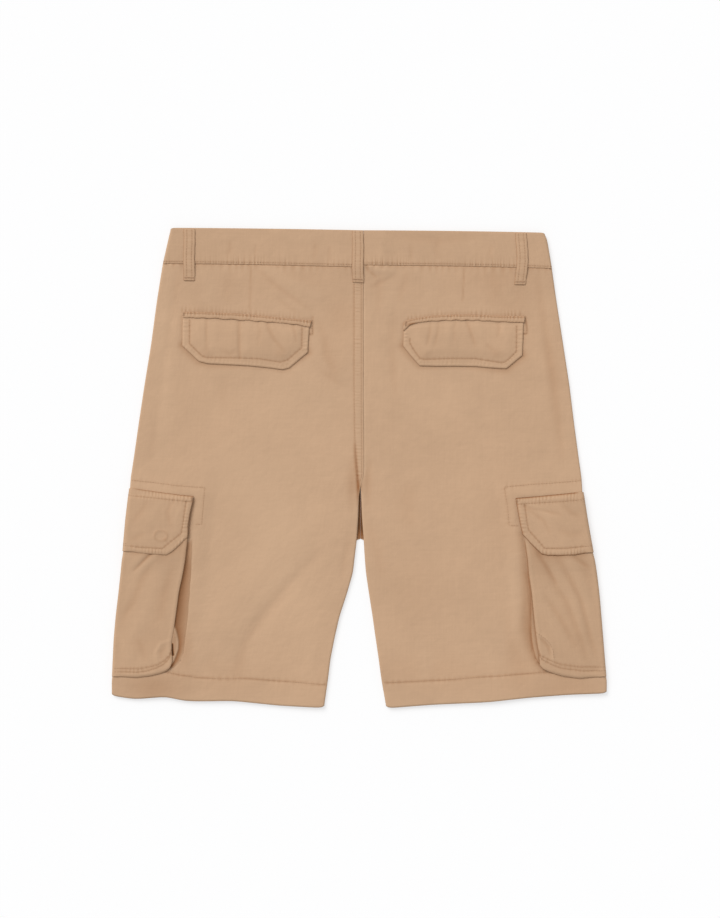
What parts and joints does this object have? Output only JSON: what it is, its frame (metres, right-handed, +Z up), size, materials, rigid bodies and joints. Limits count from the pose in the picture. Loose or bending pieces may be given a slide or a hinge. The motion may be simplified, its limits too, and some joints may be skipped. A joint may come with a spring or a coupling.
{
  "type": "cargo shorts",
  "caption": "Men's knee-length cargo shorts in sand cotton twill, laid flat on their front with the back up, with flapped back pockets and bellows side pockets.",
  "frame": {"origin": "centre of the bounding box, on the surface that the shorts lie on", "axes": "+Z up from the surface, out of the back of the shorts; +Y from the hems to the waist; +X towards the wearer's right leg"},
  "size_m": [0.5667, 0.55, 0.0112],
  "materials": {
    "cloth": "matt washed cotton twill, sand",
    "button": "satin brown horn effect"
  },
  "bodies": {
    "root": {"back_panel_left": "cloth", "back_panel_right": "cloth", "front_panel_left": "cloth", "front_panel_right": "cloth", "waistband_left": "cloth", "waistband_right": "cloth", "belt_loop_back_left": "cloth", "belt_loop_back_centre": "cloth", "belt_loop_back_right": "cloth", "belt_loop_front_left": "cloth", "belt_loop_front_right": "cloth", "back_pocket_welt_left": "cloth", "back_pocket_welt_right": "cloth", "back_pocket_flap_left": "cloth", "back_pocket_flap_right": "cloth", "cargo_pocket_bag_left": "cloth", "cargo_pocket_bag_right": "cloth", "cargo_pocket_gusset_left": "cloth", "cargo_pocket_gusset_right": "cloth", "cargo_pocket_flap_left": "cloth", "cargo_pocket_flap_right": "cloth", "waist_button": "button"}
  },
  "joints": []
}
